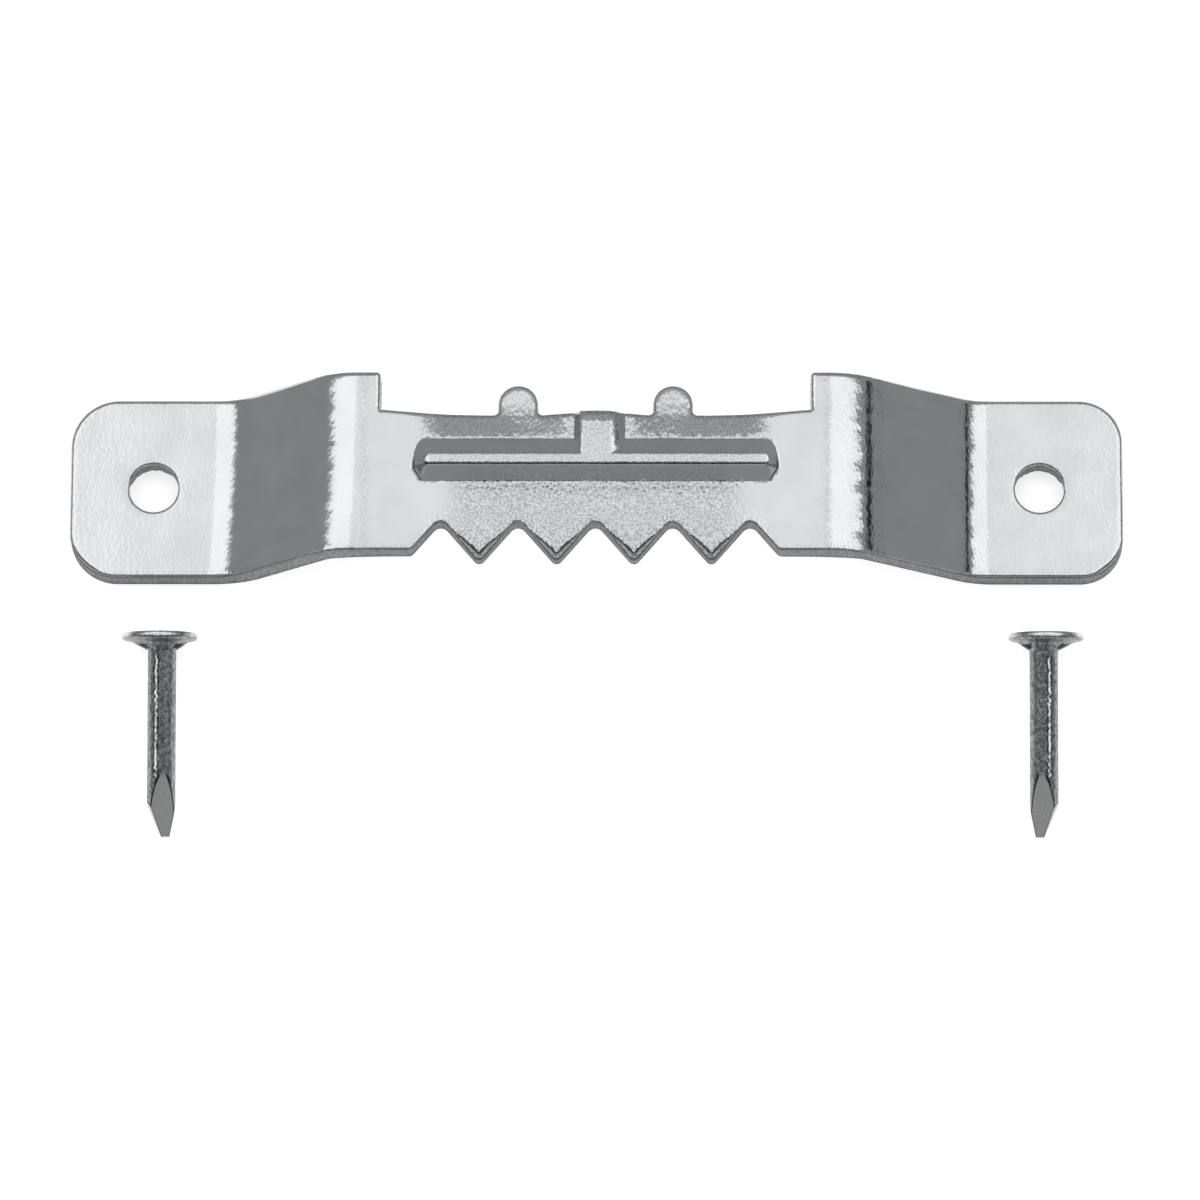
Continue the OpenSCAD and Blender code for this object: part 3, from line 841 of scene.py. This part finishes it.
def build_nail(name, middle_x, mirrored):
    rings, finish = nail_rings()
    n = NAIL_STEPS
    verts = np.concatenate(rings + [[[rings[0][:, 0].mean(), rings[0][:, 1].mean(), 0]],
                                    [[-HEAD_OFF, 0, NAIL_LEN - CROWN_DROP - CROWN_DISH]]])
    finish = np.concatenate([finish, [[0, 0], [0.5, 0], [0, 0.6]]], 1)
    faces = [(k * n + i, k * n + (i + 1) % n, (k + 1) * n + (i + 1) % n, (k + 1) * n + i)
             for k in range(len(rings) - 1) for i in range(n)]
    last = (len(rings) - 1) * n
    tip, crown = len(rings) * n, len(rings) * n + 1
    faces += [(tip, (i + 1) % n, i) for i in range(n)]
    faces += [(crown, last + i, last + (i + 1) % n) for i in range(n)]
    s, c = math.sin(LIE_ANGLE), math.cos(LIE_ANGLE)
    x, y, z = verts.T
    placed = np.column_stack([x, y * s + z * c - TIP_BACK, -y * c + z * s + TIP_LIFT])
    if mirrored:
        placed[:, 0] *= -1
        faces = [f[::-1] for f in faces]
    placed[:, 0] += middle_x
    return finished_mesh(name, placed, faces, dict(zip(("highlight_and_shade", "facet", "wear_and_sheen"), finish)), 60)


# ---- Materials ----

# Colours, all linear
ZINC = ((0.76, 0.775, 0.79, 1), (0.83, 0.84, 0.845, 1))
TORN_ZINC = ((0.2, 0.205, 0.21, 1), (0.38, 0.385, 0.39, 1))
ZINC_DUST = (0.1, 0.1, 0.105, 1)
ZINC_SHADE = (0.03, 0.03, 0.032, 1)
WIRE_SKIN = ((0.17, 0.175, 0.18, 1), (0.5, 0.51, 0.515, 1))
WIRE_WORN_SHEEN = (0.9, 0.905, 0.91, 1)
WIRE_GROUND = ((0.78, 0.79, 0.79, 1), (0.95, 0.955, 0.955, 1))
WIRE_SEAM_HIGHLIGHT = (0.95, 0.95, 0.95, 1)
WIRE_PAINTED_SHADE = (0.03, 0.032, 0.035, 1)

# Sizes of the grain in millimetres, and its height
ZINC_FINE = 0.095
ZINC_PEBBLE = 0.14
ZINC_SPECK = 0.085
ZINC_CLOUD = 1.6
ZINC_PIT = 0.42
WALL_STREAK = 0.1
WIRE_BLOTCH = 0.14
WIRE_FINE = 0.05
WIRE_BROKEN = 0.17
GRAIN_H = 0.02


def add(tree, kind, inputs=None, **props):
    """A new node with its properties set and its inputs filled or linked."""
    node = tree.nodes.new(kind)
    for key, value in props.items():
        setattr(node, key, value)
    for key, value in (inputs or {}).items():
        if isinstance(value, bpy.types.NodeSocket):
            tree.links.new(value, node.inputs[key])
        else:
            node.inputs[key].default_value = value
    return node


def link(tree, source, target):
    tree.links.new(source, target)


def empty_material(name):
    mat = bpy.data.materials.new(name)
    mat.use_nodes = True
    mat.node_tree.nodes.clear()
    return mat, mat.node_tree


def new_material(name):
    mat, tree = empty_material(name)
    shader = add(tree, "ShaderNodeBsdfPrincipled")
    add(tree, "ShaderNodeOutputMaterial", {0: shader.outputs[0]})
    return mat, tree, shader


def mapped(tree, value, low, high, to_low, to_high):
    """The value carried over from one range to another, and held at its ends."""
    return add(tree, "ShaderNodeMapRange",
               {0: value, 1: low, 2: high, 3: to_low, 4: to_high}, clamp=True).outputs[0]


def math_node(tree, operation, a, b=0.0):
    return add(tree, "ShaderNodeMath", {0: a, 1: b}, operation=operation).outputs[0]


def times(tree, a, b):
    return math_node(tree, "MULTIPLY", a, b)


def plus(tree, a, b):
    return math_node(tree, "ADD", a, b)


def less(tree, a, b):
    return math_node(tree, "SUBTRACT", a, b)


def grain(tree, place, size_mm, detail, rough=0.5):
    """Noise with grains of the given size."""
    return add(tree, "ShaderNodeTexNoise",
               {"Vector": place, "Scale": 1 / (size_mm * MM), "Detail": detail,
                "Roughness": rough}).outputs[0]


def cells(tree, place, size_mm):
    """Distance to the middle of the nearest of many cells of the given size."""
    return add(tree, "ShaderNodeTexVoronoi",
               {"Vector": place, "Scale": 1 / (size_mm * MM)}).outputs[0]


def stretched(tree, place, scale):
    return add(tree, "ShaderNodeMapping", {"Vector": place, "Scale": scale}).outputs[0]


def mixed(tree, share, a, b):
    """Colour a where the share is 0, and b where it is 1."""
    return add(tree, "ShaderNodeMix", {0: share, 6: a, 7: b}, data_type="RGBA").outputs[2]


def attribute(tree, name):
    """A value that the mesh holds at its points."""
    return add(tree, "ShaderNodeAttribute", attribute_name=name).outputs["Fac"]


def bumped(tree, shader, height):
    bump = add(tree, "ShaderNodeBump",
               {"Strength": 1.0, "Distance": GRAIN_H * MM, "Height": height})
    link(tree, bump.outputs[0], shader.inputs["Normal"])


def zinc_material():
    """Bright plating with a fine grain, and grey fracture walls with streaks down them. The walls'
    colour also carries painted shade at their rims, on the front's lower edges and round the rib's
    lower corners.
    """
    mat, tree, shader = new_material("bright_zinc_plating")
    place = add(tree, "ShaderNodeTexCoord").outputs["Object"]
    cut = attribute(tree, "cut")
    edge = attribute(tree, "edge")
    grains = attribute(tree, "grain")
    tall = stretched(tree, place, (1, 0.6, 1))
    fine = plus(tree, times(tree, grain(tree, tall, ZINC_FINE, 2, 0.6), 0.45),
                times(tree, cells(tree, tall, ZINC_PEBBLE), 0.55))
    cloud = grain(tree, place, ZINC_CLOUD, 3)
    streaks = grain(tree, stretched(tree, place, (1, 1, 0.18)), WALL_STREAK, 4, 0.6)

    face = mixed(tree, mapped(tree, cloud, 0.3, 0.7, 0, 1), *ZINC)
    dust = mapped(tree, grain(tree, place, ZINC_SPECK, 2, 0.6), 0.42, 0.62, 0, 0.8)
    dust = times(tree, dust, mapped(tree, grains, 0.2, 0.7, 0, 0.8))
    face = mixed(tree, dust, face, ZINC_DUST)
    torn_and_shade = mixed(tree, mapped(tree, streaks, 0.35, 0.65, 0, 1), *TORN_ZINC)
    # Painted shade: the walls' rims and the marked strips in front darken to near black
    torn_and_shade = mixed(tree, times(tree, edge, 0.75), torn_and_shade, ZINC_SHADE)
    link(tree, mixed(tree, cut, face, torn_and_shade), shader.inputs["Base Color"])
    shader.inputs["Metallic"].default_value = 1
    smooth = mapped(tree, cloud, 0.3, 0.7, 0.09, 0.13)
    link(tree, plus(tree, smooth, times(tree, cut, 0.3)), shader.inputs["Roughness"])
    pits = mapped(tree, cells(tree, place, ZINC_PIT), 0.02, 0.16, 1, 0)
    height = less(tree, fine, times(tree, pits, 0.25))
    height = plus(tree, height, times(tree, cut, times(tree, streaks, 2.5)))
    bumped(tree, shader, times(tree, height, grains))
    return mat


def nail_material():
    """Dull wire with a blotched skin, bright where it is worn or ground, with painted sheen on the
    head's rim, a painted highlight along the drawn ridge, and painted shade beside it, under the
    head and on the point's creases.
    """
    mat, tree, shader = new_material("dull_wire_steel")
    place = add(tree, "ShaderNodeTexCoord").outputs["Object"]
    highlight_and_shade = attribute(tree, "highlight_and_shade")
    wear_and_sheen = attribute(tree, "wear_and_sheen")
    facet = attribute(tree, "facet")
    blotch = grain(tree, stretched(tree, place, (1, 0.6, 1)), WIRE_BLOTCH, 3, 0.65)
    fine = grain(tree, place, WIRE_FINE, 2)
    broken = grain(tree, stretched(tree, place, (1, 0.7, 1)), WIRE_BROKEN, 1)

    skin = mixed(tree, mapped(tree, blotch, 0.36, 0.62, 0, 1), *WIRE_SKIN)
    patchy = times(tree, wear_and_sheen, mapped(tree, broken, 0.28, 0.46, 0.35, 1))
    skin = mixed(tree, patchy, skin, WIRE_WORN_SHEEN)
    skin = mixed(tree, facet, skin, mixed(tree, mapped(tree, fine, 0.35, 0.65, 0, 1), *WIRE_GROUND))
    # Painted highlight: along the drawn ridge the wire turns white and hardly metallic, so it shows
    # bright from every side
    bright = times(tree, mapped(tree, highlight_and_shade, 0.25, 0.7, 0, 1),
                   mapped(tree, broken, 0.4, 0.5, 0.25, 1))
    skin = mixed(tree, bright, skin, WIRE_SEAM_HIGHLIGHT)
    link(tree, less(tree, 1, times(tree, bright, 0.85)), shader.inputs["Metallic"])
    # Painted shade: the troughs beside the ridge, the shadow under the head and the point's creases
    # turn near black
    skin = mixed(tree, mapped(tree, highlight_and_shade, -0.2, -0.8, 0, 1), skin, WIRE_PAINTED_SHADE)
    link(tree, skin, shader.inputs["Base Color"])
    rough = mapped(tree, blotch, 0.3, 0.7, 0.34, 0.22)
    link(tree, less(tree, rough, times(tree, patchy, 0.1)), shader.inputs["Roughness"])
    height = plus(tree, blotch, times(tree, fine, 0.4))
    plain = math_node(tree, "MAXIMUM", facet, times(tree, wear_and_sheen, 0.8))
    bumped(tree, shader, times(tree, height, mapped(tree, plain, 0, 1, 1, 0.12)))
    return mat


# ---- Pieces ----

plate = build_plate()
plate.data.materials.append(zinc_material())
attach(plate, "plate")
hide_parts("sawtooth_plate")

steel = nail_material()
for name, body, node_name, x, mirrored in (
        ("wire_nail_left", "nail_left", "left_nail", NAIL_XS[0], False),
        ("wire_nail_right", "nail_right", "right_nail", NAIL_XS[1], True)):
    nail = build_nail(name, x, mirrored)
    nail.data.materials.append(steel)
    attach(nail, body)
    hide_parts(node_name)


# ---- Stage, lights and camera ----

# The white floor sheet and the grey table round it
FLOOR_R = 2.5
FLOOR_Z = -0.012 * MM
FLOOR_GREY = (0.72, 0.72, 0.72, 1)
FLOOR_GLOW = 0.62
FLOOR_MIRRORED = 0.35
TABLE_R = 0.6
TABLE_Z = 0.05 * MM
SHEET_X = 0.032
SHEET_LOW, SHEET_HIGH = -0.024, 0.016

# The tent: its shade, what its paler parts add to it, and the dark card to the right
TENT_R = 0.6
TENT_ROWS, TENT_COLUMNS = 24, 64
TENT_COLOR = (0.97, 0.99, 1, 1)
TENT_SHADE = 0.26
TENT_PALE = 0.1
TENT_BEYOND = 0.12
TENT_LOW = 0.3
TENT_DARK = 0.05
CARD_PLACE = (0.536, 0.172, 0.206)
CARD_RIM = (0.036, 0.062)
CARD_DARK = 0.04
SKY = 0.85

# The camera, fitted to the photograph
TILT = math.radians(16.6)
YAW = math.radians(0.59)
ROLL = math.radians(0.03)
CAMERA_GAP = 430 * MM
TARGET = Vector((0.16, -4.64, 0)) * MM
FOCAL_PX = 10083.77
PHOTO_PX = 1200
SENSOR = 36
CLIP = (0.01, 20)

# Three softboxes side by side overhead: name, left end, right end and level
LAMPS = (("softbox_left", -0.44, -0.045, 1.27), ("softbox_middle", -0.045, 0.045, 0.92),
         ("softbox_right", 0.045, 0.44, 1.27))
LAMP_GAP = 0.32
LAMP_LEAN = math.radians(15)
LAMP_WIDTH = 0.125
LAMP_LEVEL = 0.68


def stage_mesh(name, shape, mat):
    """An object of the stage, from its corners and faces."""
    verts, faces = shape
    mesh = bpy.data.meshes.new(name)
    mesh.from_pydata(verts, [], faces)
    mesh.update()
    mesh.materials.append(mat)
    obj = bpy.data.objects.new(name, mesh)
    bpy.context.scene.collection.objects.link(obj)
    return obj


def rectangles(bounds, z):
    """Level rectangles, each given by its left and right end and its lower and upper edge."""
    corners = [(x, y, z) for x0, x1, y0, y1 in bounds
               for x, y in ((x0, y0), (x1, y0), (x1, y1), (x0, y1))]
    return corners, [tuple(range(4 * i, 4 * i + 4)) for i in range(len(bounds))]


def dome(radius, rows, columns):
    """Half a sphere, in rows from its rim up to the point on top."""
    rises = [math.pi / 2 * i / rows for i in range(rows)]
    turns = [2 * math.pi * j / columns for j in range(columns)]
    corners = [(radius * math.cos(a) * math.cos(t), radius * math.cos(a) * math.sin(t),
                radius * math.sin(a)) for a in rises for t in turns]
    corners.append((0, 0, radius))
    faces = [(i * columns + j, i * columns + (j + 1) % columns,
              (i + 1) * columns + (j + 1) % columns, (i + 1) * columns + j)
             for i in range(rows - 1) for j in range(columns)]
    last = (rows - 1) * columns
    faces += [(last + j, last + (j + 1) % columns, rows * columns) for j in range(columns)]
    return corners, faces


def seen_rays(tree, mirrored=1):
    """1 for rays from the camera and refracted ones, and a share for mirrored ones."""
    rays = add(tree, "ShaderNodeLightPath")
    glossy = times(tree, rays.outputs["Is Glossy Ray"], mirrored)
    seen = math_node(tree, "MAXIMUM", rays.outputs["Is Camera Ray"], glossy)
    return math_node(tree, "MAXIMUM", seen, rays.outputs["Is Transmission Ray"])


def floor_material():
    """White paper that glows where it is seen, so that it is as pale as in the photograph."""
    mat, tree, shader = new_material("pale_floor")
    shader.inputs["Base Color"].default_value = FLOOR_GREY
    shader.inputs["Roughness"].default_value = 0.9
    shader.inputs["Specular IOR Level"].default_value = 0
    shader.inputs["Emission Color"].default_value = (1, 1, 1, 1)
    glow = times(tree, seen_rays(tree, FLOOR_MIRRORED), FLOOR_GLOW)
    link(tree, glow, shader.inputs["Emission Strength"])
    return mat


def glowing(tree, strength):
    """Ends a material in light of the tent's colour and nothing else."""
    light = add(tree, "ShaderNodeEmission", {"Color": TENT_COLOR, "Strength": strength})
    add(tree, "ShaderNodeOutputMaterial", {0: light.outputs[0]})


def table_material():
    mat, tree = empty_material("grey_table")
    glowing(tree, TENT_SHADE)
    return mat


def within(tree, value, rise, fall):
    """1 between two ramps, and 0 before the first and after the second."""
    return times(tree, mapped(tree, value, *rise, 0, 1), mapped(tree, value, *fall, 1, 0))


def tent_material():
    """Grey tent that only reflections show. It has a dark gap over the camera, a paler band below,
    brighter parts low behind the camera and beyond the lamps, and a dark card to the right."""
    mat, tree = empty_material("grey_tent")
    place = add(tree, "ShaderNodeTexCoord").outputs["Object"]
    x, y, z = add(tree, "ShaderNodeSeparateXYZ", {0: place}).outputs
    side = math_node(tree, "ABSOLUTE", x)
    ratio = math_node(tree, "DIVIDE", y, math_node(tree, "MAXIMUM", z, 0.02))
    dark = times(tree, within(tree, ratio, (-0.43, -0.37), (-0.13, -0.03)),
                 mapped(tree, side, 0.48, 0.54, 1, 0))
    pale = within(tree, ratio, (-0.75, -0.62), (-0.43, -0.37))
    low = times(tree, mapped(tree, z, 0.28, 0.2, 0, 1), mapped(tree, y, -0.1, -0.24, 0, 1))
    beyond = times(tree, within(tree, ratio, (0.4, 0.5), (0.9, 1.05)),
                   mapped(tree, side, 0.3, 0.4, 1, 0))
    shade = TENT_SHADE
    for part, more in ((pale, TENT_PALE), (beyond, TENT_BEYOND), (low, TENT_LOW)):
        shade = plus(tree, times(tree, part, more), shade)
    shade = times(tree, shade, mapped(tree, dark, 0, 1, 1, TENT_DARK))
    apart = add(tree, "ShaderNodeVectorMath", {0: place, 1: CARD_PLACE},
                operation="DISTANCE").outputs[1]
    glowing(tree, times(tree, shade, mapped(tree, apart, *CARD_RIM, CARD_DARK, 1)))
    return mat


def reflected_only(obj):
    """Only mirrored in the metal, as the dark surroundings of a small studio table are."""
    obj.visible_camera = False
    obj.visible_diffuse = False
    obj.visible_shadow = False


def place_camera():
    back = Vector((math.sin(YAW), -math.sin(TILT) * math.cos(YAW), math.cos(TILT) * math.cos(YAW)))
    up = back.cross(Vector((1, 0, 0))).normalized()
    right = up.cross(back)
    turned = right * math.cos(ROLL) + up * math.sin(ROLL)
    raised = up * math.cos(ROLL) - right * math.sin(ROLL)
    data = bpy.data.cameras.new("camera")
    data.sensor_width = SENSOR
    data.lens = SENSOR * FOCAL_PX / PHOTO_PX
    data.clip_start, data.clip_end = CLIP
    camera = bpy.data.objects.new("camera", data)
    camera.matrix_world = Matrix.Translation(TARGET + back * CAMERA_GAP) \
        @ Matrix((turned, raised, back)).transposed().to_4x4()
    bpy.context.scene.collection.objects.link(camera)
    bpy.context.scene.camera = camera


def place_lamps():
    across = Vector((0, math.sin(LAMP_LEAN), math.cos(LAMP_LEAN)))
    facing = across.to_track_quat("Z", "Y").to_matrix().to_4x4()
    for name, start, end, level in LAMPS:
        data = bpy.data.lights.new(name, "AREA")
        data.shape = "RECTANGLE"
        data.size = end - start
        data.size_y = LAMP_WIDTH
        data.energy = LAMP_LEVEL * level * math.pi * data.size * data.size_y
        lamp = bpy.data.objects.new(name, data)
        place = across * LAMP_GAP + Vector(((start + end) / 2, 0, 0))
        lamp.matrix_world = Matrix.Translation(place) @ facing
        lamp.visible_camera = False
        bpy.context.scene.collection.objects.link(lamp)


def light_sky():
    """A white sky, a little dimmer as a light than where it is seen."""
    world = bpy.data.worlds.new("studio")
    bpy.context.scene.world = world
    world.use_nodes = True
    tree = world.node_tree
    tree.nodes.clear()
    shade = mapped(tree, seen_rays(tree), 0, 1, SKY, 1)
    sky = add(tree, "ShaderNodeBackground", {"Color": (1, 1, 1, 1), "Strength": shade})
    add(tree, "ShaderNodeOutputWorld", {0: sky.outputs[0]})
    world.cycles.sampling_method = "NONE"


stage_mesh("floor", rectangles([(-FLOOR_R, FLOOR_R, -FLOOR_R, FLOOR_R)], FLOOR_Z), floor_material())
strips = ((-TABLE_R, -SHEET_X, -TABLE_R, TABLE_R), (SHEET_X, TABLE_R, -TABLE_R, TABLE_R),
          (-SHEET_X, SHEET_X, -TABLE_R, SHEET_LOW), (-SHEET_X, SHEET_X, SHEET_HIGH, TABLE_R))
reflected_only(stage_mesh("grey_table", rectangles(strips, TABLE_Z), table_material()))
place_camera()
reflected_only(stage_mesh("grey_tent", dome(TENT_R, TENT_ROWS, TENT_COLUMNS), tent_material()))
place_lamps()
light_sky()
bpy.context.scene.view_settings.view_transform = "Standard"
